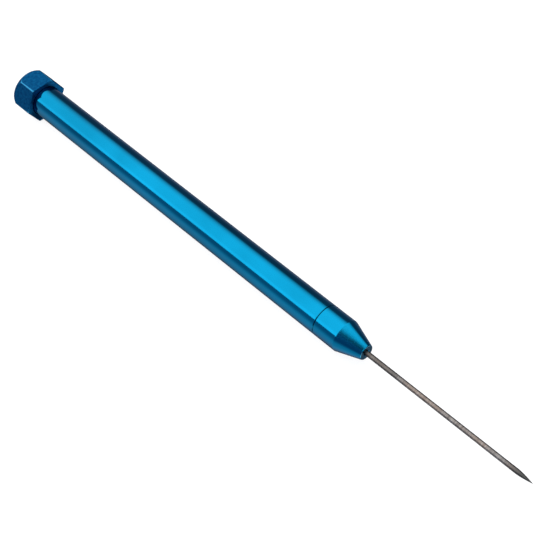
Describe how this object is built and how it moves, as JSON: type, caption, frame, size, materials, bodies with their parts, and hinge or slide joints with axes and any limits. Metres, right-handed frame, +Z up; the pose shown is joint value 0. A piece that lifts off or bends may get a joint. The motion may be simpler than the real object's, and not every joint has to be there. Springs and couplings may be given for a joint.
{
  "type": "soldering pick",
  "caption": "Soldering pick: a straight titanium needle held by a collet in the screw-on coned nose of a slim round handle with a hexagonal anti-roll cap.",
  "frame": {"origin": "centre of the pick's bounding box in X and Y, on the surface that the cap's lower flat lies on", "axes": "+X along the pick's axis toward the needle's point, +Z up, away from the flat that the pick lies on; the axis is 6.5 mm above that surface"},
  "size_m": [0.2078, 0.015, 0.013],
  "materials": {
    "blue_anodised_aluminium": "polished, bright blue anodised",
    "dark_blue_anodised_aluminium": "satin, deeper blue anodised",
    "brass": "turned",
    "steel": "turned",
    "titanium": "drawn and heat-greyed, ground at the point",
    "black_rubber": "matte"
  },
  "bodies": {
    "handle": {"handle_tube": "blue_anodised_aluminium", "front_bush": "brass", "rear_bush": "brass"},
    "chuck": {"collet": "brass"},
    "nose": {"nose_cone": "blue_anodised_aluminium"},
    "needle": {"needle": "titanium"},
    "cap_ring": {"cap_sealing_ring": "black_rubber"},
    "cap": {"end_cap": "dark_blue_anodised_aluminium", "cap_stud": "steel"}
  },
  "joints": [
    {"name": "nose_travel", "type": "slide", "parent": "handle", "child": "chuck", "axis": [1, 0, 0], "range_m": [0, 0.007]},
    {"name": "nose_screw", "type": "hinge", "parent": "chuck", "child": "nose", "pos_m": [0.02965, 0, 0.0065], "axis": [1, 0, 0], "range_deg": [0, 2556]},
    {"name": "needle_slide", "type": "slide", "parent": "chuck", "child": "needle", "axis": [1, 0, 0], "range_m": [-0.056, 0.0075]},
    {"name": "cap_travel", "type": "slide", "parent": "handle", "child": "cap_ring", "axis": [-1, 0, 0], "range_m": [0, 0.007]},
    {"name": "cap_screw", "type": "hinge", "parent": "cap_ring", "child": "cap", "pos_m": [-0.09566, 0, 0.0065], "axis": [-1, 0, 0], "range_deg": [0, 2556]}
  ],
  "couplings": [
    {"joint": "nose_screw", "follows": "nose_travel", "rad_per_m": 6283.2},
    {"joint": "cap_screw", "follows": "cap_travel", "rad_per_m": 6283.2}
  ]
}
